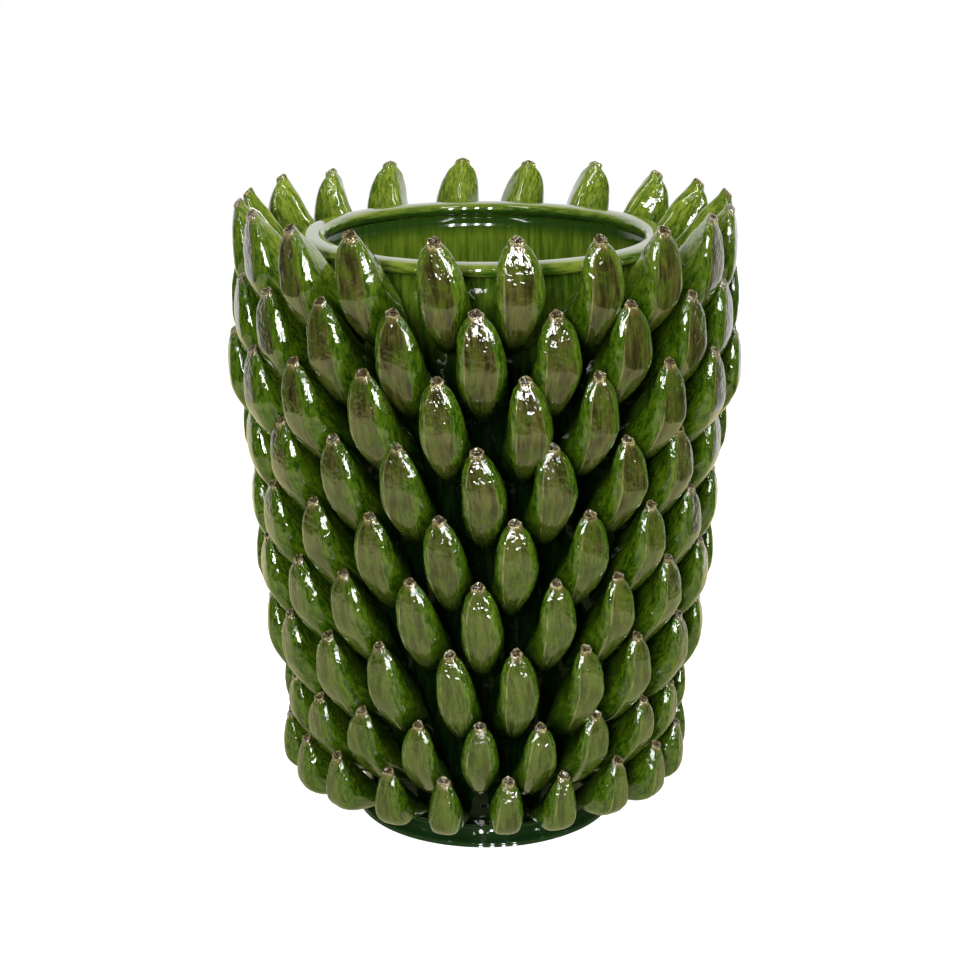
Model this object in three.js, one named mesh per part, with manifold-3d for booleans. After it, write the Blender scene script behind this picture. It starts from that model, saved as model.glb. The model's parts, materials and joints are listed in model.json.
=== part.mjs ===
// Banana vase: a tall green-glazed clay vessel covered by nine staggered rings of clay bananas.
// Millimetres, +Z up, origin on the table at the middle of the foot ring, front towards -Y.

import * as THREE from 'three';
import { mergeVertices } from 'three/addons/utils/BufferGeometryUtils.js';
import Module from 'manifold-3d';

const wasm = await Module();
wasm.setup();

// Clearance between clay pieces that were luted together.
const fitGap = 0.3;

// Foot ring, a flared coil under the base.
const footRadius = 82;
const footHeight = 11;
const footLipHeight = 3;
const footNeckInset = 7;
const footCoveShare = 0.2;
const footRingWidth = 18;
const footEdgeRounding = 1;

// Base slab and the vessel's wall that stands on it.
const slabThickness = 9;
const slabEdgeTaper = 2;
const heelRadius = 78;
const lowerWallRadius = 90;
const middleWallRadius = 102;
const bellyRadius = 110;
const neckRadius = 107;
const lowerWallHeight = 55;
const bellyHeight = 260;
const wallThickness = 9;
const wallSteps = 6;

// Rim, a rolled coil on top of the wall.
const rimOverhang = 4;
const rimInnerOverhang = 2;
const rimHeight = 8;
const rimCorners = 6;

// Rows of bananas, counted from the crown (row 1) down to row 9. The rises between them are shares
// of what lies between the lowest and the highest tips.
const bananasPerRow = 20;
const crownTipHeight = 388;
const bottomTipHeight = 64;
const rowRiseShares = [39, 36, 42, 43, 39, 43, 49, 33];
const rowTipReaches = [38, 39.5, 43.5, 38.5, 38.5, 40.5, 41, 38.5, 45];
const rowTurns = [6.5, -2.5, 8, -2, 7.5, -1, 8.2, -2, 6];
const rowGathers = [0, 0.02, 0.04, 0.03, 0.03, 0.04, 0.04, 0.05, 0.07];
const rowBellyDrops = [1.25, 1.15, 1.08, 1, 0.95, 0.92, 0.92, 0.92, 1];
const rowCount = rowTipReaches.length;
const singleRows = 2;
const crownRise = 20;
// How unevenly the bananas of a row stand: degrees to the side, height, and the wave they follow.
const turnSway = 0.7;
const riseSway = 1;
const swayPace = 2.4;

// One banana: a thorn that stands out from the wall, its tip cut off aslant, its front nearly upright
// and its back falling to the wall. Its sides are points of distance out from the tip and down.
const crownBananaWidth = 27.4;
const bottomBananaWidth = 20;
const bananaSpan = 73;
const lowestRoot = 23;
const leastRootRise = 12;
const frontLine = [[2.6, 2.6], [4.4, 12], [4.8, 24], [2.6, 35], [-5.5, 49], [-19, 63], [-40, 73]];
const bottomFrontLine = [[2.6, 2.6], [4.8, 13], [5.2, 25], [2, 36], [-7, 45], [-20, 48.5], [-42, 41]];
const backLine = [[-2.4, -2.2], [-5.5, 1.6], [-16, 9.6]];
const backSlope = 1.09;
const backStep = 1;
const rootHeel = 3;
const bodyShift = 3;
const bodyShiftPlace = 0.3;
const shiftedRows = 7;
const pressGrowth = [1.05, 1.03, 1.02];
// Stations along a banana from tip to root: place, half width of the front facet and of the flanks
// as shares of the banana's half width, and how far back the flanks' edges lie.
const bananaStations = [
  [0, 0.3, 0.4, 0.5],
  [0.2, 0.74, 1, 0.42],
  [0.46, 0.7, 1.1, 0.5],
  [0.68, 0.4, 1.04, 0.66],
  [1, 0.2, 0.4, 0.6],
];
const bottomStations = [
  [0, 0.3, 0.4, 0.5],
  [0.3, 0.7, 0.96, 0.5],
  [0.55, 0.74, 1.1, 0.5],
  [0.8, 0.6, 1.1, 0.5],
  [1, 0.3, 0.6, 0.5],
];

// Slip bed that bonds a row of bananas to the wall.
const bandThickness = 2.4;
const bandBelowRoot = 1;
const bandHeight = 13;

const roundSteps = 24;

const glaze = new THREE.MeshStandardMaterial({ color: 0x3f6318, roughness: 0.16, metalness: 0 });
const bananaGlaze = new THREE.MeshStandardMaterial({ color: 0x5c7426, roughness: 0.14, metalness: 0 });
const insideGlaze = new THREE.MeshStandardMaterial({ color: 0x6b8c2a, roughness: 0.2, metalness: 0 });
const footGlaze = new THREE.MeshStandardMaterial({ color: 0x163a17, roughness: 0.12, metalness: 0 });

// Heights that follow from the rows.
const sum = (values) => values.reduce((total, value) => total + value, 0);
const risePerShare = (crownTipHeight - bottomTipHeight) / sum(rowRiseShares);
const rowTipHeights = rowTipReaches.map((_, row) => {
  const riseSharesBelow = sum(rowRiseShares.slice(row));
  return bottomTipHeight + riseSharesBelow * risePerShare;
});
const slabBottom = footHeight + fitGap;
const wallBottom = slabBottom + slabThickness + fitGap;
const rimTop = rowTipHeights[0] - crownRise;
const wallTop = rimTop - rimHeight - fitGap;

// Outside of the wall, from the heel up to the neck, as a faceted outline of radius and height.
function makeWallOutline() {
  const middleHeight = (lowerWallHeight + bellyHeight) / 2;
  const curve = new THREE.SplineCurve([
    new THREE.Vector2(heelRadius, wallBottom),
    new THREE.Vector2(lowerWallRadius, lowerWallHeight),
    new THREE.Vector2(middleWallRadius, middleHeight),
    new THREE.Vector2(bellyRadius, bellyHeight),
    new THREE.Vector2(neckRadius, wallTop),
  ]);
  return curve.getPoints(wallSteps);
}

const wallOutline = makeWallOutline();

function wallRadiusAt(height) {
  const above = wallOutline.findIndex((point) => point.y > height);
  if (above === 0) return wallOutline[0].x;
  if (above < 0) return wallOutline[wallOutline.length - 1].x;
  const upper = wallOutline[above];
  const lower = wallOutline[above - 1];
  const share = (height - lower.y) / (upper.y - lower.y);
  return THREE.MathUtils.lerp(lower.x, upper.x, share);
}

// A closed loop of radius and height, turned around the vase's axis.
function revolve(loop) {
  const geometry = new THREE.LatheGeometry([...loop, loop[0]], roundSteps);
  geometry.rotateX(Math.PI / 2);
  return geometry;
}

function toSolid(geometry) {
  const bare = geometry.clone();
  bare.deleteAttribute('normal');
  bare.deleteAttribute('uv');
  const merged = mergeVertices(bare, 1e-4);
  const vertProperties = new Float32Array(merged.attributes.position.array);
  const triVerts = new Uint32Array(merged.index.array);
  return new wasm.Manifold(new wasm.Mesh({ numProp: 3, vertProperties, triVerts }));
}

function toGeometry(solid) {
  const mesh = solid.getMesh();
  const geometry = new THREE.BufferGeometry();
  geometry.setAttribute('position', new THREE.BufferAttribute(mesh.vertProperties, 3));
  geometry.setIndex(new THREE.BufferAttribute(mesh.triVerts, 1));
  geometry.computeVertexNormals();
  return geometry;
}

// The space that the wall and everything within an offset outside it takes up.
function wallSpace(offset) {
  const side = wallOutline.map((point) => new THREE.Vector2(point.x + offset, point.y));
  const low = new THREE.Vector2(side[0].x, wallBottom - bananaSpan);
  const high = new THREE.Vector2(side[side.length - 1].x, wallTop + bananaSpan);
  const axisTop = new THREE.Vector2(0, high.y);
  const axisBottom = new THREE.Vector2(0, low.y);
  return toSolid(revolve([low, ...side, high, axisTop, axisBottom]));
}

// Height at which a row's bananas end on the wall. The lowest rows are cramped by the heel.
function rootHeight(row) {
  const rowsBelow = rowCount - 1 - row;
  return Math.max(rowTipHeights[row] - bananaSpan, lowestRoot + leastRootRise * rowsBelow);
}

function bananaWidth(row) {
  return THREE.MathUtils.lerp(crownBananaWidth, bottomBananaWidth, row / (rowCount - 1));
}

// Front and back of a row's bananas seen from the side, from tip to root, in radius and height.
function bananaSides(row) {
  const root = rootHeight(row);
  const tip = new THREE.Vector2(wallRadiusAt(root) + rowTipReaches[row], rowTipHeights[row]);
  const seat = wallRadiusAt(root) + fitGap + bandThickness / 2;
  const line = row < rowCount - 1 ? frontLine : bottomFrontLine;
  const [endOut, endDown] = line[line.length - 1];
  const front = line.map(([out, down]) => {
    const reach = out > 0 ? out : (out * (seat - tip.x)) / endOut;
    const sag = THREE.MathUtils.lerp(rowBellyDrops[row], 1, (down / endDown) ** 2);
    return new THREE.Vector2(tip.x + reach, tip.y - (down * sag * (tip.y - root)) / endDown);
  });
  const back = backLine.map(([out, down]) => new THREE.Vector2(tip.x + out, tip.y - down));
  const clearance = bandThickness + 3 * fitGap;
  const meeting = back[back.length - 1].clone();
  while (meeting.x > wallRadiusAt(meeting.y) + clearance) {
    meeting.x -= backStep;
    meeting.y -= backStep * backSlope;
  }
  back.push(meeting, new THREE.Vector2(seat, root + rootHeel));
  const backPath = new THREE.CurvePath();
  back.slice(1).forEach((point, index) => backPath.add(new THREE.LineCurve(back[index], point)));
  return [new THREE.SplineCurve(front), backPath];
}

// Five-sided section: a flat front, two flanks and a ridge at the back, each corner as half widths
// across and its depth from the front to the back.
function sectionCorners(frontShare, flankShare, flankDepth) {
  return [
    [-frontShare, 0],
    [-flankShare, flankDepth],
    [0, 1],
    [flankShare, flankDepth],
    [frontShare, 0],
  ];
}

// One banana at the front of the vase.
function bananaGeometry(row) {
  const [front, back] = bananaSides(row);
  const halfWidth = bananaWidth(row) / 2;
  const stations = row < rowCount - 1 ? bananaStations : bottomStations;
  const corners = 5;
  const positions = [];
  for (const [place, ...shares] of stations) {
    const fore = front.getPointAt(place);
    const rear = back.getPoint(place);
    const shift = row < shiftedRows ? bodyShift * Math.min(1, place / bodyShiftPlace) : 0;
    for (const [across, depth] of sectionCorners(...shares)) {
      const radius = THREE.MathUtils.lerp(fore.x, rear.x, depth);
      const height = THREE.MathUtils.lerp(fore.y, rear.y, depth);
      positions.push(across * halfWidth + shift, -radius, height);
    }
  }
  const faces = [];
  const lastRing = (stations.length - 1) * corners;
  for (let ring = 0; ring < lastRing; ring += corners) {
    for (let corner = 0; corner < corners; corner += 1) {
      const next = (corner + 1) % corners;
      const here = ring + corner;
      const beside = ring + next;
      faces.push(here, beside, here + corners);
      faces.push(beside, beside + corners, here + corners);
    }
  }
  for (let corner = 1; corner < corners - 1; corner += 1) {
    faces.push(0, corner + 1, corner);
    faces.push(lastRing, lastRing + corner, lastRing + corner + 1);
  }
  const geometry = new THREE.BufferGeometry();
  geometry.setAttribute('position', new THREE.Float32BufferAttribute(positions, 3));
  geometry.setIndex(faces);
  return geometry;
}

// Moves one banana to its place round the vase. The bananas stand a little closer in front than at
// the back, and no two of a row stand quite alike.
function setBanana(banana, row, place) {
  const even = THREE.MathUtils.degToRad(rowTurns[row]) + (place * Math.PI * 2) / bananasPerRow;
  const sway = Math.sin(swayPace * place + row);
  const gathered = THREE.MathUtils.radToDeg(even - rowGathers[row] * Math.sin(even));
  const lift = riseSway * Math.cos(swayPace * place + row);
  return banana.translate([0, 0, lift]).rotate([0, 0, gathered + turnSway * sway]);
}

// The bananas of a row, grown by the gap, which the row above is pressed against while wet.
function pressedSpace(row) {
  const banana = toSolid(bananaGeometry(row));
  const { min, max } = banana.boundingBox();
  const middle = min.map((value, axis) => (value + max[axis]) / 2);
  const back = middle.map((value) => -value);
  const grown = banana.translate(back).scale(pressGrowth).translate(middle);
  const places = Array.from({ length: bananasPerRow }, (_, place) => setBanana(grown, row, place));
  return wasm.Manifold.union(places);
}

function bandBottom(row) {
  return Math.max(rootHeight(row) - bandBelowRoot, wallBottom);
}

// Loop of radius and height for the slip bed under one row.
function bandLoop(row) {
  const bottom = bandBottom(row);
  const limit = row > 0 ? bandBottom(row - 1) - fitGap : wallTop;
  const top = Math.min(bottom + bandHeight, limit);
  const corners = [[bottom, fitGap + bandThickness], [top, fitGap + bandThickness]];
  corners.push([top, fitGap], [bottom, fitGap]);
  return corners.map(([height, offset]) => new THREE.Vector2(wallRadiusAt(height) + offset, height));
}

function footLoop() {
  const neck = footRadius - footNeckInset;
  const bore = footRadius - footRingWidth;
  const coveHeight = (footLipHeight + footHeight) / 2;
  const coveRadius = neck + footNeckInset * footCoveShare;
  return [
    [bore, 0],
    [footRadius - footEdgeRounding, 0],
    [footRadius, footLipHeight],
    [coveRadius, coveHeight],
    [neck, footHeight],
    [bore, footHeight],
  ].map(([radius, height]) => new THREE.Vector2(radius, height));
}

function slabLoop() {
  return [
    [0, slabBottom],
    [heelRadius - slabEdgeTaper, slabBottom],
    [heelRadius, slabBottom + slabThickness],
    [0, slabBottom + slabThickness],
  ].map(([radius, height]) => new THREE.Vector2(radius, height));
}

function wallLoop() {
  const outer = wallOutline;
  const inner = outer.filter((_, index) => index % 2 === 0);
  const inside = inner.map((point) => new THREE.Vector2(point.x - wallThickness, point.y));
  return [...outer, ...inside.reverse()];
}

function rimLoop() {
  const outside = neckRadius + rimOverhang;
  const inside = neckRadius - wallThickness - rimInnerOverhang;
  const bottom = wallTop + fitGap;
  const middle = bottom + rimHeight / 2;
  const centre = (outside + inside) / 2;
  const halfWidth = (outside - inside) / 2;
  const corners = [];
  for (let step = 0; step < rimCorners; step += 1) {
    const angle = ((step + 0.5) / rimCorners) * Math.PI * 2 - Math.PI / 2;
    const radius = centre + halfWidth * Math.cos(angle);
    const height = middle + (rimHeight * Math.sin(angle)) / 2 / Math.cos(Math.PI / rimCorners);
    corners.push(new THREE.Vector2(radius, height));
  }
  return corners;
}

const vase = new THREE.Group();

function addPiece(name, geometry, material) {
  const mesh = new THREE.Mesh(geometry, material);
  mesh.name = name;
  vase.add(mesh);
  return mesh;
}

addPiece('foot_ring', revolve(footLoop()), footGlaze);
addPiece('base_slab', revolve(slabLoop()), insideGlaze);
addPiece('vessel_wall', revolve(wallLoop()), insideGlaze);
addPiece('rim_coil', revolve(rimLoop()), glaze);

// The upper rows: every banana is its own piece, seated on the outside of its slip bed.
const outsideBands = wallSpace(fitGap + bandThickness + fitGap);
for (let row = 0; row < singleRows; row += 1) {
  addPiece(`slip_bed_${row + 1}`, revolve(bandLoop(row)), glaze);
  const banana = toSolid(bananaGeometry(row));
  const rowBelow = pressedSpace(row + 1);
  for (let place = 0; place < bananasPerRow; place += 1) {
    const seated = setBanana(banana, row, place).subtract(outsideBands).subtract(rowBelow);
    const number = String(place + 1).padStart(2, '0');
    addPiece(`banana_${row + 1}_${number}`, toGeometry(seated), bananaGlaze);
  }
}

// The rows below: each ring of bananas is one piece with the slip bed that carries it.
const nearWall = wallSpace(fitGap / 2);
for (let row = singleRows; row < rowCount; row += 1) {
  const banana = toSolid(bananaGeometry(row));
  let ring = toSolid(revolve(bandLoop(row)));
  for (let place = 0; place < bananasPerRow; place += 1) {
    ring = ring.add(setBanana(banana, row, place));
  }
  ring = ring.subtract(nearWall);
  if (row < rowCount - 1) ring = ring.subtract(pressedSpace(row + 1));
  addPiece(`banana_ring_${row + 1}`, toGeometry(ring), bananaGlaze);
}

export default vase;
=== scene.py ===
import json
import math
import random

import bmesh
import bpy
import numpy as np
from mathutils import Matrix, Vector, noise

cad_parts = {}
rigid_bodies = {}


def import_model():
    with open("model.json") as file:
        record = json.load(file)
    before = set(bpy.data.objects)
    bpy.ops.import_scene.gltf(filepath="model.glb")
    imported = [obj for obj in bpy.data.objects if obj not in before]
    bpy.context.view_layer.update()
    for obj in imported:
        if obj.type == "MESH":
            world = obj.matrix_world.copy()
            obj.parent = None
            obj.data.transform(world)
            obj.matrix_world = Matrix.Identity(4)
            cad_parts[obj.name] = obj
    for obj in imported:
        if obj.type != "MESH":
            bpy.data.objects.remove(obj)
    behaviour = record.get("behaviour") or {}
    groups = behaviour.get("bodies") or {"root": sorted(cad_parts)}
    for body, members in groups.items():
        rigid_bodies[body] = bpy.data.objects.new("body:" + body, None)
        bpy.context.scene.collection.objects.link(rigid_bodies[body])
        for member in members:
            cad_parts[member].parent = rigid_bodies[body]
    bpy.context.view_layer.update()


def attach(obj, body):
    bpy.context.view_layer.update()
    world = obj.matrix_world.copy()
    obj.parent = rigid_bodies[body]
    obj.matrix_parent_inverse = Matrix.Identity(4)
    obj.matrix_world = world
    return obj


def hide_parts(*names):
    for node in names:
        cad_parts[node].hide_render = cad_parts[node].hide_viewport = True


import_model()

# Foot ring: a flared coil of clay luted under the base, trimmed to a thin lip that the vase stands on.
# It is dipped in the same glaze, which runs down and pools on it almost black.
# Its outline is radius and height, from the bore down, round the lip and up to the neck.
foot_height = 0.011
foot_radius = 0.082
foot_lip = 0.003
foot_neck = 0.0752
foot_bore = 0.064
foot_outline = [(foot_bore, foot_height + 0.0004), (foot_bore, 0.001), (foot_bore + 0.001, 0),
                (foot_radius - 0.0012, 0), (foot_radius, 0.0014), (foot_radius - 0.0006, foot_lip),
                (foot_radius - 0.0045, foot_lip + 0.0022), (foot_neck, foot_height - 0.0015),
                (foot_neck + 0.0008, foot_height + 0.001)]
foot_steps = 5
foot_wobble = 0.0001
foot_seed = 3
foot_green = (0.01, 0.035, 0.008, 1)
foot_roughness = 0.06
turning_steps = 256
wave_counts = (2, 3, 5, 7)
least_wave = 0.4
wave_twist = 14
same_place = 0.0000001


def smooth_line(points, steps):
    """Points on a smooth line through the given ones, with their ends kept."""
    points = [Vector(point) for point in points]
    ends = [points[0] * 2 - points[1]] + points + [points[-1] * 2 - points[-2]]
    line = []
    for before, start, end, after in zip(ends, ends[1:], ends[2:], ends[3:]):
        for step in range(steps):
            t = step / steps
            line.append(0.5 * (
                2 * start + (end - before) * t
                + (2 * before - 5 * start + 4 * end - after) * t * t
                + (3 * start - before - 3 * end + after) * t ** 3))
    return line + [points[-1]]


def turned(name, loop, wobble, seed):
    """A closed loop of radius and height turned about the vase's axis, a little uneven as by hand."""
    rng = random.Random(seed)
    waves = [(count, rng.uniform(0, math.tau), rng.uniform(least_wave, 1)) for count in wave_counts]
    verts, faces = [], []
    for step in range(turning_steps):
        angle = step / turning_steps * math.tau
        for radius, height in loop:
            sway = sum(size * math.sin(count * angle + phase + wave_twist * height)
                       for count, phase, size in waves)
            reach = radius + wobble * sway if radius else 0
            verts.append((reach * math.sin(angle), -reach * math.cos(angle), height))
    count = len(loop)
    for step in range(turning_steps):
        here, beside = step * count, (step + 1) % turning_steps * count
        for corner in range(count):
            after = (corner + 1) % count
            if loop[corner][0] or loop[after][0]:
                faces.append((here + corner, beside + corner, beside + after, here + after))
    mesh = bpy.data.meshes.new(name)
    mesh.from_pydata(verts, [], faces)
    # The points on the axis lie in one place, so they are joined to close the mesh there.
    whole = bmesh.new()
    whole.from_mesh(mesh)
    bmesh.ops.remove_doubles(whole, verts=whole.verts, dist=same_place)
    whole.to_mesh(mesh)
    whole.free()
    mesh.shade_smooth()
    piece = bpy.data.objects.new(name, mesh)
    bpy.context.scene.collection.objects.link(piece)
    return piece


class Nodes:
    """Adds nodes to a tree, with the values and links of their inputs given by name or number."""

    def __init__(self, tree):
        self.tree = tree

    def add(self, kind, inputs=None, **settings):
        node = self.tree.nodes.new(kind)
        for key, value in settings.items():
            setattr(node, key, value)
        for key, value in (inputs or {}).items():
            self.give(node.inputs[key], value)
        return node

    def give(self, socket, value):
        if isinstance(value, bpy.types.NodeSocket):
            self.tree.links.new(value, socket)
        else:
            socket.default_value = value

    def math(self, operation, *values):
        return self.add("ShaderNodeMath", dict(enumerate(values)), operation=operation).outputs[0]

    def vector(self, operation, *values):
        node = self.add("ShaderNodeVectorMath", dict(enumerate(values)), operation=operation)
        return node.outputs["Value" if operation == "LENGTH" else "Vector"]

    def place(self):
        """Where a point lies, from the middle of the vase's foot."""
        return self.add("ShaderNodeTexCoord").outputs["Object"]

    def parts(self, vector):
        """A vector's X to the right, Y to the back and Z upwards."""
        return self.add("ShaderNodeSeparateXYZ", {0: vector}).outputs

    def upwards(self, length):
        """A vector of that length straight up."""
        return self.add("ShaderNodeCombineXYZ", {"Z": length}).outputs[0]

    def mix(self, share, first, second):
        """A mix of two colours, which are inputs 6 and 7 and output 2 of the node."""
        inputs = {0: share, 6: first, 7: second}
        return self.add("ShaderNodeMix", inputs, data_type="RGBA").outputs[2]

    def ramp(self, value, low, high, to_low=0.0, to_high=1.0):
        """Goes softly from one level to the other while a value goes from low to high."""
        inputs = {"Value": value, "From Min": low, "From Max": high, "To Min": to_low, "To Max": to_high}
        return self.add("ShaderNodeMapRange", inputs, interpolation_type="SMOOTHSTEP").outputs[0]

    def two_tone(self, pattern, contrast, dark, light):
        """A dark tint that turns light where a pattern is high."""
        return self.mix(self.ramp(pattern, *contrast), dark, light)

    def noise(self, place, scale, detail, rough, shade=None, stretch=None):
        """Uneven patches; a small stretch draws them out upwards, and each shade has its own."""
        if stretch is not None:
            place = self.vector("MULTIPLY", place, (1, 1, stretch))
        inputs = {"Vector": place, "Scale": scale, "Detail": detail, "Roughness": rough}
        if shade is None:
            return self.add("ShaderNodeTexNoise", inputs).outputs[0]
        inputs["W"] = shade
        return self.add("ShaderNodeTexNoise", inputs, noise_dimensions="4D").outputs[0]

    def bump(self, lumps, distance):
        inputs = {"Height": lumps, "Strength": 1.0, "Distance": distance}
        return self.add("ShaderNodeBump", inputs).outputs[0]


def glazed(name):
    """A new material with its tree's node adder and its shader."""
    material = bpy.data.materials.new(name)
    material.use_nodes = True
    return material, Nodes(material.node_tree), material.node_tree.nodes["Principled BSDF"]


foot_line = smooth_line(foot_outline, foot_steps)
foot_profile = [(point.x, max(0, point.y)) for point in foot_line]
foot = turned("foot", foot_profile, foot_wobble, foot_seed)
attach(foot, "root")
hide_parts("foot_ring")

foot_glaze, _, foot_shader = glazed("foot_glaze")
foot_shader.inputs["Base Color"].default_value = foot_green
foot_shader.inputs["Roughness"].default_value = foot_roughness
foot.data.materials.append(foot_glaze)

# Vessel: the pot itself, a slab base with the wall built up on it and smoothed inside and out.
# Brushed glaze covers it, streaky and yellow-green inside; outside it is painted near black between the
# bananas as painted shade.
# Its outline is radius and height, from the heel up to the neck.
wall_outline = [(0.078, 0.0206), (0.090, 0.055), (0.102, 0.1575), (0.110, 0.260), (0.107, 0.3597)]
wall_steps = 12
wall_thickness = 0.009
wall_wobble = 0.0002
wall_seed = 5
base_radii = (0, 0.04, 0.0745)
floor_top = 0.0203
floor_radius = 0.03
heel_near = 0.001
heel_far = 0.006
heel_steps = 6
outer_line = smooth_line(wall_outline, wall_steps)
wall_heights = [point.y for point in outer_line]
wall_radii = [point.x for point in outer_line]


def wall_radius(height):
    """The wall's outer radius at a height."""
    return float(np.interp(height, wall_heights, wall_radii))


inner_line = [(point.x - wall_thickness, point.y) for point in reversed(outer_line)]
inner_radius = inner_line[-1][0]
inner_heel = smooth_line([inner_line[-3], (inner_radius - heel_near, floor_top + heel_far),
                          (inner_radius - heel_far, floor_top + heel_near),
                          (floor_radius, floor_top), (0, floor_top)], heel_steps)
wall_profile = [(radius, foot_height) for radius in base_radii]
wall_profile += [(point.x, point.y) for point in outer_line]
wall_profile += inner_line[:-3] + [(point.x, point.y) for point in inner_heel]
wall = turned("vessel", wall_profile, wall_wobble, wall_seed)
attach(wall, "root")
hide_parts("vessel_wall", "base_slab")

wall_roughness = 0.1
inside_dark = (0.034, 0.090, 0.004, 1)
inside_light = (0.16, 0.23, 0.020, 1)
inside_under_rim_green = (0.008, 0.036, 0.003, 1)
inside_contrast = (0.25, 0.75)
# Just under the rim the inner wall is darker green.
under_rim = (0.345, 0.356)
under_rim_shares = (0.0, 0.9)
inside_glaze, inside, inside_shader = glazed("inside_glaze")
inside_place = inside.place()
inside_height = inside.parts(inside_place)["Z"]
inside_streaks = inside.noise(inside_place, scale=420, detail=4, rough=0.65, stretch=0.08)
inside_tint = inside.two_tone(inside_streaks, inside_contrast, inside_dark, inside_light)
under_rim_darkening = inside.ramp(inside_height, *under_rim, *under_rim_shares)
inside.give(inside_shader.inputs["Base Color"], inside.mix(under_rim_darkening, inside_tint, inside_under_rim_green))
inside_shader.inputs["Roughness"].default_value = wall_roughness

# Painted shade: below the crown row the outer wall is painted near black, as shaded between the bananas.
shaded_dark = (0.001, 0.004, 0.001, 1)
shaded_light = (0.003, 0.012, 0.001, 1)
upper_dark = (0.014, 0.048, 0.002, 1)
upper_light = (0.090, 0.150, 0.012, 1)
outside_contrast = (0.35, 0.7)
upper_heights = (0.305, 0.35)
outside_lump_depth = 0.0012
outside_gloss = 0.15
outside_glaze, outside, outside_shader = glazed("outside_glaze")
outside_place = outside.place()
outside_height = outside.parts(outside_place)["Z"]
outside_streaks = outside.noise(outside_place, scale=300, detail=4, rough=0.65, stretch=0.15)
shaded_tint = outside.two_tone(outside_streaks, outside_contrast, shaded_dark, shaded_light)
upper_tint = outside.two_tone(outside_streaks, outside_contrast, upper_dark, upper_light)
upper = outside.ramp(outside_height, *upper_heights)
outside.give(outside_shader.inputs["Base Color"], outside.mix(upper, shaded_tint, upper_tint))
outside_lumps = outside.noise(outside_place, scale=110, detail=1, rough=0.4)
outside.give(outside_shader.inputs["Normal"], outside.bump(outside_lumps, outside_lump_depth))
outside_shader.inputs["Roughness"].default_value = wall_roughness
outside_shader.inputs["Specular IOR Level"].default_value = outside_gloss

wall.data.materials.append(inside_glaze)
wall.data.materials.append(outside_glaze)
for face in wall.data.polygons:
    reach = math.hypot(face.center.x, face.center.y)
    if reach > wall_radius(face.center.z) - wall_thickness / 2:
        face.material_index = 1

# Rim: a rolled coil of clay on the wall's top edge, standing a little proud inside and out.
# Its crest shows paler than the wall, partly as thin glaze and partly as a painted sheen of light on its
# top, and its inner face is darker green.
rim_outer = 0.111
rim_inner = 0.096
rim_low = 0.3600
rim_high = 0.368
rim_middle = (rim_outer + rim_inner) / 2
rim_half = (rim_outer - rim_inner) / 2
rim_rise = (rim_high - rim_low) / 2
rim_steps = 32
rim_squareness = 0.7
rim_wobble = 0.0001
rim_seed = 7
rim_profile = []
for step in range(rim_steps):
    angle = step / rim_steps * math.tau
    across, up = (math.copysign(abs(share) ** rim_squareness, share)
                  for share in (math.cos(angle), math.sin(angle)))
    rim_profile.append((rim_middle + rim_half * across, (rim_low + rim_high) / 2 + rim_rise * up))
rim = turned("rim", rim_profile, rim_wobble, rim_seed)
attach(rim, "root")
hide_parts("rim_coil")

rim_dark = (0.024, 0.080, 0.003, 1)
rim_light = (0.19, 0.26, 0.03, 1)
rim_crest = (0.26, 0.31, 0.05, 1)
rim_inner_green = (0.008, 0.040, 0.004, 1)
rim_contrast = (0.34, 0.68)
rim_roughness = 0.06
streaks_round = 0.02
crest_heights = (rim_low + 0.005, rim_high)
crest_shares = (0.0, 0.45)
inner_face_radii = (rim_inner + 0.0035, rim_inner + 0.0005)
inner_face_heights = (rim_high - 0.002, rim_low + 0.003)
inner_face_shares = (0.0, 0.9)
rim_glaze, rim_nodes, rim_shader = glazed("rim_glaze")
rim_place = rim_nodes.place()
rim_height = rim_nodes.parts(rim_place)["Z"]
flat_place = rim_nodes.vector("MULTIPLY", rim_place, (1, 1, 0))
rim_reach = rim_nodes.vector("LENGTH", flat_place)
round_way = rim_nodes.vector("NORMALIZE", flat_place)
over_roll = rim_nodes.upwards(rim_nodes.math("ADD", rim_reach, rim_height))
round_place = rim_nodes.vector("MULTIPLY_ADD", round_way, [streaks_round] * 3, over_roll)
rim_streaks = rim_nodes.noise(round_place, scale=420, detail=3, rough=0.6)
rim_tint = rim_nodes.two_tone(rim_streaks, rim_contrast, rim_dark, rim_light)
# Partly painted sheen: the crest's top is paler, as thin glaze and as light catching it.
crest = rim_nodes.ramp(rim_height, *crest_heights, *crest_shares)
rim_tint = rim_nodes.mix(crest, rim_tint, rim_crest)
# The rim's inner face is darker green.
inner_face = rim_nodes.math("MULTIPLY", rim_nodes.ramp(rim_reach, *inner_face_radii),
                            rim_nodes.ramp(rim_height, *inner_face_heights, *inner_face_shares))
rim_tint = rim_nodes.mix(inner_face, rim_tint, rim_inner_green)
rim_nodes.give(rim_shader.inputs["Base Color"], rim_tint)
rim_shader.inputs["Coat Weight"].default_value = 1
rim_shader.inputs["Roughness"].default_value = rim_roughness
rim.data.materials.append(rim_glaze)

# Bananas: nine rows of twenty thorn-shaped fingers of clay, each rolled, flattened in front, cut off
# aslant at its tip and luted to the wall by its lower end, so that it leans out and its back slants
# down to the wall. The glaze breaks olive on their fronts; between them it is painted green and black,
# as painted shade with glaze pooling.
bananas_per_row = 20
single_rows = 2

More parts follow.
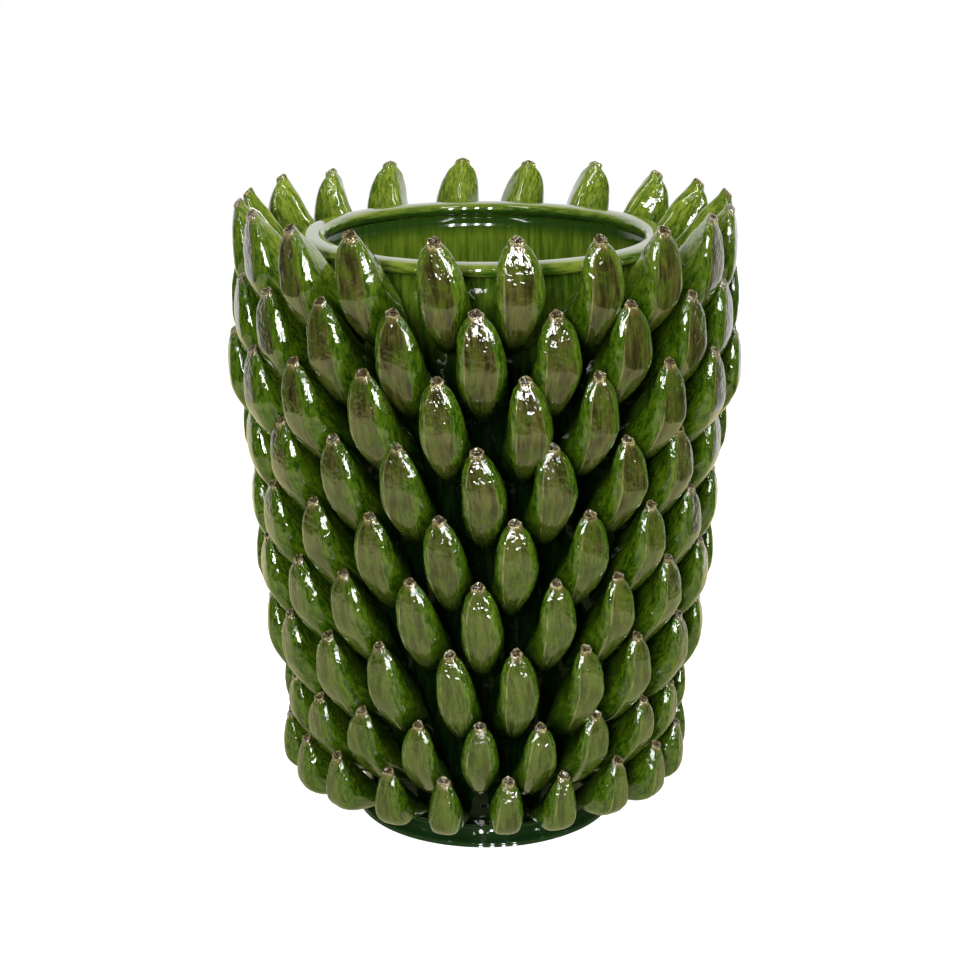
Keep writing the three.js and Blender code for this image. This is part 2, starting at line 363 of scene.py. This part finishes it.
# From the crown row down: height and radius of the tips, turn in degrees, how far the bananas gather
# towards the front, and how low their bellies hang.
tip_heights = [0.388, 0.349, 0.313, 0.271, 0.228, 0.189, 0.146, 0.097, 0.064]
tip_radii = [0.147, 0.149, 0.152, 0.144, 0.140, 0.138, 0.133, 0.123, 0.124]
row_turns = [6.5, -2.5, 8, -2, 7.5, -1, 8.2, -2, 6]
row_gathers = [0, 0.02, 0.04, 0.03, 0.03, 0.04, 0.04, 0.05, 0.07]
belly_drops = [1.25, 1.15, 1.08, 1, 0.95, 0.92, 0.92, 0.92, 1]
last_row = len(tip_heights) - 1
turn_sway = math.radians(0.7)
rise_sway = 0.001
sway_pace = 2.4
crown_width = 0.0274
bottom_width = 0.0212
banana_span = 0.073
lowest_root = 0.023
least_root_rise = 0.012
root_heel = 0.003
root_depth = 0.003

# The front and back of a banana, as ways out and down from its tip. The front's drop is fitted to the
# root's height and its reach inwards to the wall. The back runs on at its slope until it meets the wall.
front_line = [(0.0026, 0.0026), (0.0041, 0.012), (0.0043, 0.024), (0.0024, 0.035), (-0.0055, 0.049),
              (-0.019, 0.063), (-0.040, 0.073)]
bottom_front_line = [(0.0026, 0.0026), (0.0046, 0.012), (0.0052, 0.022), (0.0032, 0.031),
                     (-0.004, 0.0375), (-0.017, 0.0405), (-0.042, 0.041)]
back_line = [(-0.0024, -0.0022), (-0.0055, 0.0016), (-0.016, 0.0096)]
back_slope = 1.09
back_step = 0.001
line_steps = 10
steps_along = 46
tip_crowding = 1.3

# Stations from tip to root: place, half width of the front facet and of the flanks as shares of the
# banana's half width, and how far back the flanks' edges lie.
stations = [(0, 0.26, 0.36, 0.5), (0.022, 0.28, 0.38, 0.5), (0.055, 0.46, 0.62, 0.47),
            (0.1, 0.62, 0.8, 0.37), (0.18, 0.76, 0.98, 0.34), (0.34, 0.86, 1.14, 0.35),
            (0.5, 0.7, 1.2, 0.42), (0.68, 0.36, 1.24, 0.54), (0.86, 0.2, 1.18, 0.6),
            (1, 0.15, 1.0, 0.6)]
bottom_stations = [(0, 0.3, 0.4, 0.5), (0.03, 0.32, 0.44, 0.48), (0.1, 0.5, 0.7, 0.48),
                   (0.3, 0.76, 1.04, 0.5), (0.45, 0.74, 1.08, 0.5), (0.62, 0.6, 1.02, 0.5),
                   (0.8, 0.5, 0.95, 0.5), (1, 0.3, 0.6, 0.5)]
corner_cuts = (0.18, 0.25, 0.25)
facets = 5
steps_per_facet = 2 ** len(corner_cuts)
steps_around = facets * steps_per_facet
front_offset = 0.05
offset_reach = 0.2

# What differs from one shape to the next, as by hand: its width, a shift of its body to one side below
# the tip in all but the lowest rows, the slant of its facets, and its lumps.
shapes_per_row = 4
width_play = (0.96, 1.02)
body_shift = 0.003
shift_play = (0.6, 1.4)
shift_reach = 0.3
shifted_rows = 7
slant_play = 0.06
skew_play = 0.12
lump_room = 50
lumps_across = 160
lumps_inward = 2.2
lumps_along = 11
fine_lumps = 1.8
fine_swell = 0.02
tip_swell = 0.2
tip_swell_reach = 0.05
broad_lumps = 0.4
broad_swell = 0.03

# The cut tip is closed by rings, from its middle outwards: size, rise, and how much they are marked
# as tip. The mark fades down the body and breaks up.
cap_rings = [(0.15, -0.0002, 1), (0.5, 0.0001, 0.9), (0.78, 0.0007, 0.75), (0.93, 0.0006, 0.6)]
cap_size_play = (0.95, 1.04)
cap_rise_play = 0.0003
body_mark = 0.5
mark_fade = 9
mark_lumps = 2.1
mark_play = 0.35

# How thin the glaze is on the edges, by step round the section: the front's two edges and the back ridge.
edge_paleness = {0: 1.0, steps_per_facet - 1: 0.7,
                 3 * steps_per_facet - 1: 0.75, 3 * steps_per_facet: 0.75}
front_fade = 0.6
pool_drop = 0.04
pool_clearance = 0.03
grain_depth = 0.02
grain_length = 0.09


def evened(points, count):
    """The line through the points, with that many steps that get longer away from its start."""
    lengths = [0.0]
    for before, after in zip(points, points[1:]):
        lengths.append(lengths[-1] + (after - before).length)
    places = [lengths[-1] * (step / count) ** tip_crowding for step in range(count + 1)]
    across = np.interp(places, lengths, [point.x for point in points])
    down = np.interp(places, lengths, [point.y for point in points])
    return [Vector((float(x), float(y))) for x, y in zip(across, down)]


def banana_sides(row):
    """Front and back outline of a row's bananas, in radius and height, from the tip down to the root."""
    tip = Vector((tip_radii[row], tip_heights[row]))
    rows_below = last_row - row
    root = max(tip.y - banana_span, lowest_root + least_root_rise * rows_below)
    line = front_line if rows_below else bottom_front_line
    end_out, end_down = line[-1]
    seat = wall_radius(root) - root_depth
    front = []
    for out, down in line:
        reach = out if out > 0 else out * (seat - tip.x) / end_out
        sag = belly_drops[row] + (1 - belly_drops[row]) * (down / end_down) ** 2
        front.append(Vector((tip.x + reach, tip.y - down * sag * (tip.y - root) / end_down)))
    back = [Vector((tip.x + out, tip.y - down)) for out, down in back_line]
    meeting = back[-1].copy()
    while meeting.x > wall_radius(meeting.y):
        meeting -= Vector((back_step, back_step * back_slope))
    back.append(meeting)
    back.append(Vector((seat, root + root_heel)))
    return evened(smooth_line(front, line_steps), steps_along), evened(back, steps_along)


def cut_corners(corners):
    """A closed outline with its corners cut off again and again, until they are softly rounded.

    It starts where its first corner was.
    """
    for cut in corner_cuts:
        sides = zip(corners, corners[1:] + corners[:1])
        corners = [here.lerp(beside, share) for here, beside in sides for share in (cut, 1 - cut)]
    first = 1 - steps_per_facet // 2
    return corners[first:] + corners[:first]


def banana_mesh(row, shape):
    """One banana at the front of the vase, with what its glaze follows stored on its points."""
    rng = random.Random(100 * row + shape)
    fronts, backs = banana_sides(row)
    widths = smooth_line(stations if row < last_row else bottom_stations, line_steps)
    width_places = [station[0] for station in widths]
    row_width = crown_width + (bottom_width - crown_width) * row / last_row
    half = row_width / 2 * rng.uniform(*width_play)
    shift = body_shift * rng.uniform(*shift_play) if row < shifted_rows else 0
    slants = [rng.uniform(-slant_play, slant_play) for facet in range(facets)]
    skew = rng.uniform(-skew_play, skew_play)
    lump_place = Vector([rng.uniform(0, lump_room) for part in range(3)])
    tip_gap = tip_radii[row] - wall_radius(tip_heights[row] - pool_drop)
    verts, grain = [], []
    # Places along and inward, thin edges, the front, the painted shade and glaze pooling near the wall and
    # the mark of the tip.
    named = {"along": [], "inward": [], "ridge": [], "front": [], "pool": [], "tip": []}

    def add_ring(index, shrink, lift, tip):
        fore, rear = fronts[index], backs[index]
        along = (index / steps_along) ** tip_crowding
        front, flank, depth = (
            float(np.interp(along, width_places, [station[part] for station in widths]))
            for part in (1, 2, 3))
        offset = front_offset * min(1, along / offset_reach)
        corners = [Vector((-front - offset + slants[0] * flank, 0)),
                   Vector((front - offset + slants[1] * flank, 0)),
                   Vector((flank, depth + slants[2])), Vector((skew * flank, 1)),
                   Vector((-flank, depth + slants[3]))]
        centre = Vector((0, 0.5))
        up = (Vector((rear.y - fore.y, fore.x - rear.x)).normalized()) * lift
        rough = fine_swell + tip_swell * max(0, 1 - along / tip_swell_reach)
        for step, point in enumerate(cut_corners(corners)):
            point = centre + (point - centre) * shrink
            inward = point.y - centre.y
            spot = fore.lerp(rear, point.y)
            across = point.x * half
            place = Vector((across * lumps_across, inward * lumps_inward, along * lumps_along)) + lump_place
            swell = rough * noise.noise(place * fine_lumps) + broad_swell * noise.noise(place * broad_lumps)
            spot += (spot - fore.lerp(rear, 0.5)) * swell + up
            across *= 1 + swell
            side = across + shift * min(1, along / shift_reach)
            verts.append((side, -spot.x, spot.y))
            # Painted shade with glaze pooling: the pool mark grows towards the wall and fades out above the
            # rim, where nothing shades the bananas.
            gap = (spot.x - wall_radius(spot.y)) / tip_gap
            below_rim = min(1.0, max(0.0, (rim_high - spot.y) / pool_clearance))
            named["along"].append(along)
            named["inward"].append(point.y)
            named["ridge"].append(edge_paleness.get(step, 0.0))
            named["front"].append(
                1 - front_fade * (step / steps_per_facet) ** 2 if step < steps_per_facet else 0.0)
            named["pool"].append(min(1.0, max(0.0, 1 - gap)) * below_rim)
            named["tip"].append(tip + noise.noise(place * mark_lumps) * mark_play * min(1, tip * 2))
            grain.append((across, inward * grain_depth, along * grain_length))

    for size, rise, tip in cap_rings:
        size *= rng.uniform(*cap_size_play)
        rise += rng.uniform(-cap_rise_play, cap_rise_play)
        add_ring(0, size, rise, tip)
    for index in range(steps_along + 1):
        add_ring(index, 1.0, 0.0, max(0.0, body_mark - (index / steps_along) ** tip_crowding * mark_fade))
    rings = len(cap_rings) + steps_along + 1
    faces = []
    for ring in range(rings - 1):
        for step in range(steps_around):
            here = ring * steps_around + step
            beside = ring * steps_around + (step + 1) % steps_around
            faces.append((here, here + steps_around, beside + steps_around, beside))
    faces.append(tuple(range(steps_around)))
    faces.append(tuple(reversed(range((rings - 1) * steps_around, rings * steps_around))))
    mesh = bpy.data.meshes.new(f"banana_{row + 1}_{shape}")
    mesh.from_pydata(verts, [], faces)
    mesh.shade_smooth()
    for name, values in named.items():
        mesh.attributes.new(name, "FLOAT", "POINT").data.foreach_set("value", values)
    stored_grain = mesh.attributes.new("grain", "FLOAT_VECTOR", "POINT")
    stored_grain.data.foreach_set("vector", [number for vector in grain for number in vector])
    return mesh


def banana_row_tree():
    """Sets bananas round the vase: picks a shape for each, turns it to its place and joins them."""
    tree = bpy.data.node_groups.new("banana_row", "GeometryNodeTree")
    face = tree.interface
    face.new_socket("Geometry", in_out="OUTPUT", socket_type="NodeSocketGeometry")
    for name, kind in (("Shapes", "Collection"), ("Count", "Int"), ("Turn", "Float"),
                       ("Gather", "Float"), ("Turn Sway", "Float"), ("Rise Sway", "Float"),
                       ("Sway Pace", "Float"), ("Seed", "Int"), ("Glaze", "Material")):
        face.new_socket(name, in_out="INPUT", socket_type=f"NodeSocket{kind}")
    row = Nodes(tree)
    given = row.add("NodeGroupInput").outputs

    index = row.add("GeometryNodeInputIndex").outputs[0]
    step = row.math("DIVIDE", math.tau, given["Count"])
    even = row.math("MULTIPLY_ADD", index, step, given["Turn"])
    gather = row.math("MULTIPLY", row.math("SINE", even), given["Gather"])
    phase = row.math("MULTIPLY_ADD", index, given["Sway Pace"], given["Seed"])
    sway = row.math("MULTIPLY", row.math("SINE", phase), given["Turn Sway"])
    turn = row.math("ADD", row.math("SUBTRACT", even, gather), sway)
    rise = row.math("MULTIPLY", row.math("COSINE", phase), given["Rise Sway"])
    points = row.add("GeometryNodePoints",
                     {"Count": given["Count"], "Position": row.upwards(rise)}).outputs[0]
    shapes = row.add("GeometryNodeCollectionInfo",
                     {"Collection": given["Shapes"], "Separate Children": True},
                     transform_space="ORIGINAL").outputs[0]
    # Inputs 4 and 5 and output 2 of a random value are its whole numbers, and output 1 its share.
    picks = {4: 0, 5: shapes_per_row - 1, "Seed": given["Seed"]}
    pick = row.add("FunctionNodeRandomValue", picks, data_type="INT").outputs[2]
    placed = row.add("GeometryNodeInstanceOnPoints", {
        "Points": points, "Instance": shapes, "Pick Instance": True, "Instance Index": pick,
        "Rotation": row.upwards(turn)}).outputs[0]
    tone = row.add("FunctionNodeRandomValue", {"Seed": given["Seed"]}, data_type="FLOAT").outputs[1]
    toned = row.add("GeometryNodeStoreNamedAttribute",
                    {"Geometry": placed, "Name": "tone", "Value": tone},
                    data_type="FLOAT", domain="INSTANCE").outputs[0]
    joined = row.add("GeometryNodeRealizeInstances", {"Geometry": toned}).outputs[0]
    coated = row.add("GeometryNodeSetMaterial",
                     {"Geometry": joined, "Material": given["Glaze"]}).outputs[0]
    row.add("NodeGroupOutput", {"Geometry": coated})
    return tree


def made_by(tree, name, values):
    """The mesh that a tree makes with the given inputs, as a plain piece without the modifier."""
    carrier = bpy.data.objects.new(name, bpy.data.meshes.new(name))
    bpy.context.scene.collection.objects.link(carrier)
    modifier = carrier.modifiers.new(name, "NODES")
    modifier.node_group = tree
    for item in tree.interface.items_tree:
        if item.in_out == "INPUT" and item.name in values:
            modifier[item.identifier] = values[item.name]
    bpy.context.view_layer.update()
    seen = carrier.evaluated_get(bpy.context.evaluated_depsgraph_get())
    mesh = bpy.data.meshes.new_from_object(seen)
    carrier.modifiers.remove(modifier)
    carrier.data = mesh
    return carrier


banana_glaze, glaze, banana_shader = glazed("banana_glaze")


def stored(name, output="Fac"):
    """What the bananas' points hold under a name, for the glaze to follow."""
    return glaze.add("ShaderNodeAttribute", attribute_name=name).outputs[output]


along, inward, ridge, front, pool, tip, tone = (
    stored(name) for name in ("along", "inward", "ridge", "front", "pool", "tip", "tone"))
grain = stored("grain", "Vector")
height = glaze.parts(glaze.place())["Z"]
shade_spread = 40.0
shade = glaze.math("MULTIPLY", tone, shade_spread)
fine_streaks = glaze.noise(grain, scale=1100, detail=3, rough=0.6, shade=shade, stretch=0.09)
broad_streaks = glaze.noise(grain, scale=260, detail=4, rough=0.6, shade=shade, stretch=0.2)
mottle = glaze.noise(grain, scale=620, detail=5, rough=0.7, shade=shade, stretch=0.25)
blotches = glaze.noise(grain, scale=120, detail=2, rough=0.5, shade=shade)
specks = glaze.noise(grain, scale=1100, detail=3, rough=0.6, shade=shade)

# The flanks are mottled green. Painted light: on the crown row's inner faces, which nothing shades, they
# are painted brighter and yellower.
flank_dark = (0.008, 0.036, 0.001, 1)
flank_light = (0.080, 0.150, 0.005, 1)
flank_contrast = (0.32, 0.68)
crown_dark = (0.050, 0.120, 0.005, 1)
crown_light = (0.30, 0.37, 0.042, 1)
crown_contrast = (0.34, 0.66)
crown_heights = (0.345, 0.375)
crown_depths = (0.3, 0.75)
crown_shares = (0.25, 0.9)
green = glaze.two_tone(mottle, flank_contrast, flank_dark, flank_light)
lit_crown_green = glaze.two_tone(mottle, crown_contrast, crown_dark, crown_light)
painted_crown_light = glaze.math("MULTIPLY", glaze.ramp(height, *crown_heights),
                         glaze.ramp(inward, *crown_depths, *crown_shares))
green = glaze.mix(painted_crown_light, green, lit_crown_green)

# The fronts are streaked, brown on the upper rows and olive on the lower ones, with green blotches.
brown_dark = (0.017, 0.015, 0.003, 1)
brown_light = (0.074, 0.074, 0.014, 1)
olive_dark = (0.026, 0.038, 0.004, 1)
olive_light = (0.080, 0.110, 0.014, 1)
front_contrast = (0.36, 0.64)
brown_heights = (0.12, 0.30)
streak_olive = (0.17, 0.18, 0.04, 1)
streak_levels = (0.48, 0.78)
streak_shares = (0.0, 0.3)
blotch_weight = 1.2
front_levels = (0.85, 1.3)
blotch_levels = (0.34, 0.58)
blotch_shares = (0.5, 1.0)
brown = glaze.two_tone(broad_streaks, front_contrast, brown_dark, brown_light)
olive = glaze.two_tone(broad_streaks, front_contrast, olive_dark, olive_light)
olive = glaze.mix(glaze.ramp(height, *brown_heights), olive, brown)
olive = glaze.mix(glaze.ramp(fine_streaks, *streak_levels, *streak_shares), olive, streak_olive)
spread = glaze.math("MULTIPLY_ADD", blotches, blotch_weight, front)
front_share = glaze.math("MULTIPLY", glaze.ramp(spread, *front_levels),
                         glaze.ramp(blotches, *blotch_levels, *blotch_shares))
body = glaze.mix(front_share, green, olive)

# On the edges, but not in the hollows, the glaze is thin in places and lets the pale clay show.
edge_cream = (0.34, 0.35, 0.12, 1)
edge_levels = (0.4, 1.0)
edge_pools = (0.6, 0.3)
edge_breaks = (0.38, 0.62)
edge_shares = (0.05, 0.5)
thin_edge = glaze.math("MULTIPLY", glaze.ramp(ridge, *edge_levels), glaze.ramp(pool, *edge_pools))
thin_edge = glaze.math("MULTIPLY", thin_edge, glaze.ramp(blotches, *edge_breaks, *edge_shares))
body = glaze.mix(thin_edge, body, edge_cream)

# Painted shade with glaze pooling: the lower ends of the bananas, fading out near the foot, and the hollows
# near the wall are painted near black green, the hollows less so in the lowest rows.
shade_pool_green = (0.002, 0.012, 0.001, 1)
run_places = (0.5, 0.74)
run_shares = (0.0, 0.92)
run_heights = (0.045, 0.07)
pool_levels = (0.24, 0.76)
pool_shares = (0.0, 0.94)
low_heights = (0.05, 0.15)
low_shares = (0.6, 1.0)
shaded_run_down = glaze.math("MULTIPLY", glaze.ramp(along, *run_places, *run_shares),
                      glaze.ramp(height, *run_heights))
shaded_hollow = glaze.math("MULTIPLY", glaze.ramp(pool, *pool_levels, *pool_shares),
                    glaze.ramp(height, *low_heights, *low_shares))
body = glaze.mix(glaze.math("MAXIMUM", shaded_hollow, shaded_run_down), body, shade_pool_green)

# The tips have a tan neck, a speckled rind round the cut, and a dark cut face.
neck_tan = (0.16, 0.12, 0.045, 1)
neck_marks = (0.1, 0.45)
neck_shares = (0.0, 0.6)
rind_dark = (0.020, 0.012, 0.003, 1)
rind_light = (0.42, 0.36, 0.16, 1)
rind_contrast = (0.42, 0.56)
rind_marks = (0.36, 0.5)
cut_dark = (0.010, 0.005, 0.002, 1)
cut_light = (0.22, 0.16, 0.06, 1)
cut_contrast = (0.5, 0.6)
cut_marks = (0.68, 0.84)
body = glaze.mix(glaze.ramp(tip, *neck_marks, *neck_shares), body, neck_tan)
rind = glaze.two_tone(specks, rind_contrast, rind_dark, rind_light)
body = glaze.mix(glaze.ramp(tip, *rind_marks), body, rind)
cut_face = glaze.two_tone(specks, cut_contrast, cut_dark, cut_light)
body = glaze.mix(glaze.ramp(tip, *cut_marks), body, cut_face)
glaze.give(banana_shader.inputs["Base Color"], body)

# The glaze is a thick clear coat, rippled along the bananas and crumpled on the fronts near the tips.
gloss_marks = (0.5, 0.8)
roughness_levels = (0.03, 0.1)
banana_ior = 1.6
coat_roughness = 0.01
ripple_height = 0.5
crumple_places = (0.42, 0.0)
crumple_heights = (0.15, 6.0)
crumple_depths = (0.45, 0.8)
crumple_shares = (1.0, 0.3)
lump_depth = 0.0004
glaze.give(banana_shader.inputs["Roughness"], glaze.ramp(tip, *gloss_marks, *roughness_levels))
banana_shader.inputs["IOR"].default_value = banana_ior
banana_shader.inputs["Coat Weight"].default_value = 1
banana_shader.inputs["Coat Roughness"].default_value = coat_roughness
ripples = glaze.noise(grain, scale=420, detail=2, rough=0.5, shade=shade, stretch=0.09)
ripples = glaze.math("MULTIPLY", ripples, ripple_height)
near_tip = glaze.math("MULTIPLY", glaze.ramp(along, *crumple_places, *crumple_heights),
                      glaze.ramp(inward, *crumple_depths, *crumple_shares))
crumples = glaze.noise(grain, scale=250, detail=1, rough=0.5, shade=shade)
crumples = glaze.math("MULTIPLY", crumples, near_tip)
lumps = glaze.math("ADD", ripples, crumples)
glaze.give(banana_shader.inputs["Normal"], glaze.bump(lumps, lump_depth))

row_tree = banana_row_tree()
for row in range(last_row + 1):
    shapes = bpy.data.collections.new(f"banana_shapes_{row + 1}")
    for shape in range(shapes_per_row):
        mesh = banana_mesh(row, shape)
        shapes.objects.link(bpy.data.objects.new(mesh.name, mesh))
    bananas = made_by(row_tree, f"bananas_row_{row + 1}", {
        "Shapes": shapes, "Count": bananas_per_row, "Turn": math.radians(row_turns[row]),
        "Gather": float(row_gathers[row]), "Turn Sway": turn_sway, "Rise Sway": rise_sway,
        "Sway Pace": sway_pace, "Seed": row, "Glaze": banana_glaze})
    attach(bananas, "root")
    if row < single_rows:
        singles = [f"banana_{row + 1}_{place + 1:02d}" for place in range(bananas_per_row)]
        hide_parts(*singles, f"slip_bed_{row + 1}")
    else:
        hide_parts(f"banana_ring_{row + 1}")
    for shape in list(shapes.objects):
        bpy.data.objects.remove(shape)
    bpy.data.collections.remove(shapes)

# Table: a white table that ends in front of the vase and to its sides, where the glaze stops
# mirroring it. To the camera it glows a little less round the foot, so that the vase's shadow shows there.
# To the glaze it has no lit colour but a warm glow, a painted reflection, dimmer near the vase as painted
# shadow.
table_left = -0.75
table_right = 0.45
table_front = -0.75
table_back = 2
table_white = (0.85, 0.85, 0.85, 1)
black = (0, 0, 0, 1)
white = (1, 1, 1, 1)
mirrored_warm = (1, 0.95, 0.52, 1)
shadow_reach = (0.1, 0.3)
shadow_glow = (0.82, 1.0)
mirrored_reach = (0.25, 0.6)
mirrored_glow = (0.42, 0.74)
table_mesh = bpy.data.meshes.new("table")
table_mesh.from_pydata([(table_left, table_front, 0), (table_right, table_front, 0),
                        (table_right, table_back, 0), (table_left, table_back, 0)],
                       [], [(0, 1, 2, 3)])
table = bpy.data.objects.new("table", table_mesh)
bpy.context.scene.collection.objects.link(table)
table_paint, paint, table_shader = glazed("table_paint")
table_shader.inputs["Roughness"].default_value = 1
table_shader.inputs["Specular IOR Level"].default_value = 0
table_rays = paint.add("ShaderNodeLightPath").outputs
mirrored = paint.math("MAXIMUM", table_rays["Is Glossy Ray"], table_rays["Is Transmission Ray"])
paint.give(table_shader.inputs["Base Color"], paint.mix(mirrored, table_white, black))
from_vase = paint.vector("LENGTH", paint.place())
seen_glow = paint.math("MULTIPLY", table_rays["Is Camera Ray"],
                       paint.ramp(from_vase, *shadow_reach, *shadow_glow))
painted_mirror_glow = paint.math("MULTIPLY", mirrored, paint.ramp(from_vase, *mirrored_reach, *mirrored_glow))
paint.give(table_shader.inputs["Emission Strength"], paint.math("ADD", seen_glow, painted_mirror_glow))
paint.give(table_shader.inputs["Emission Color"], paint.mix(mirrored, white, mirrored_warm))
table.data.materials.append(table_paint)

# Room: plain white where the camera looks past the vase. It lights the clay from behind, from above
# and from the right, and the glaze mirrors it dim in front of the vase and bright behind it.
room_low = (0.10, 0.085, 0.065, 1)
room_high = (0.30, 0.30, 0.30, 1)
room_right = (1.2, 1.2, 1.1, 1)
room_mirrored = (0.045, 0.040, 0.028, 1)
room_behind = (0.8, 0.8, 0.8, 1)
high_ways = (0.1, 0.8)
right_ways = (0.1, 0.9)
lit_behind = (0.0, 0.4)
mirrored_behind = (0.4, 0.75)
world = bpy.data.worlds.new("studio")
world.use_nodes = True
bpy.context.scene.world = world
world.node_tree.nodes.clear()
sky = Nodes(world.node_tree)
room_rays = sky.add("ShaderNodeLightPath").outputs
way = sky.parts(sky.add("ShaderNodeTexCoord").outputs["Generated"])
room = sky.two_tone(way["Z"], high_ways, room_low, room_high)
room = sky.mix(sky.ramp(way["X"], *right_ways), room, room_right)
room = sky.mix(room_rays["Is Glossy Ray"], room, room_mirrored)
behind = sky.mix(room_rays["Is Glossy Ray"], sky.ramp(way["Y"], *lit_behind),
                 sky.ramp(way["Y"], *mirrored_behind))
room = sky.mix(behind, room, room_behind)
room = sky.mix(room_rays["Is Camera Ray"], room, white)
light = sky.add("ShaderNodeBackground", {"Color": room, "Strength": 1.0})
sky.add("ShaderNodeOutputWorld", {"Surface": light.outputs[0]})

# Lights: three soft windows that light the clay but aren't mirrored, two long strips above, and four
# narrow window panes in front that only the glaze mirrors, as the white glints near the tips.
# Places and sizes are in metres, powers in watts and the panes' turns in degrees.
light_aim = (0, 0, 0.2)
windows = {"front_window": ((-0.4, -2.0, 0.9), (0.5, 0.7), 31),
           "right_window": ((1.9, -0.5, 1.3), (0.4, 0.6), 8),
           "left_window": ((-1.5, -1.1, 1.3), (0.25, 0.5), 2)}
strip_aside = 0.7
strip_front = -0.9
strip_height = 2.0
strip_size = (0.05, 1.1)
strip_power = 5
pane_count = 4
first_pane_turn = -4
pane_spacing = 10
pane_distance = 2.0
pane_height = 0.78
pane_size = (0.08, 0.8)
pane_power = 16


def soft_light(name, place, size, power):
    """A lamp of that width and height, turned to the vase."""
    data = bpy.data.lights.new(name, "AREA")
    data.shape = "RECTANGLE"
    data.size, data.size_y = size
    data.energy = power
    lamp = bpy.data.objects.new(name, data)
    lamp.location = place
    lamp.rotation_euler = (Vector(light_aim) - Vector(place)).to_track_quat("-Z", "Y").to_euler()
    bpy.context.scene.collection.objects.link(lamp)
    return lamp


for name, (place, size, power) in windows.items():
    soft_light(name, place, size, power).visible_glossy = False
for side in (-1, 1):
    place = (strip_aside * side, strip_front, strip_height)
    soft_light(f"ceiling_strip_{side + 2}", place, strip_size, strip_power)
for pane in range(pane_count):
    turn = math.radians(first_pane_turn + pane_spacing * pane)
    place = (pane_distance * math.sin(turn), -pane_distance * math.cos(turn), pane_height)
    soft_light(f"window_pane_{pane + 1}", place, pane_size, pane_power).visible_diffuse = False

# Camera: the photograph's view, from 16.55 degrees above and about 1.37 m away.
# The vase's axis stands five pixels to the right of the picture's middle.
photo_size = 960
focal_pixels = 2210
axis_pixel_offset = 5
camera_pitch = math.radians(16.55)
camera_distance = 1.3745
aim_height = 0.211
camera_data = bpy.data.cameras.new("camera")
camera_data.sensor_width = 36
camera_data.lens = focal_pixels / photo_size * camera_data.sensor_width
camera_data.shift_x = -axis_pixel_offset / photo_size
camera = bpy.data.objects.new("camera", camera_data)
bpy.context.scene.collection.objects.link(camera)
camera.location = (0, -camera_distance * math.cos(camera_pitch),
                   aim_height + camera_distance * math.sin(camera_pitch))
camera.rotation_euler = (math.pi / 2 - camera_pitch, 0, 0)
bpy.context.scene.camera = camera
bpy.context.scene.view_settings.view_transform = "Standard"
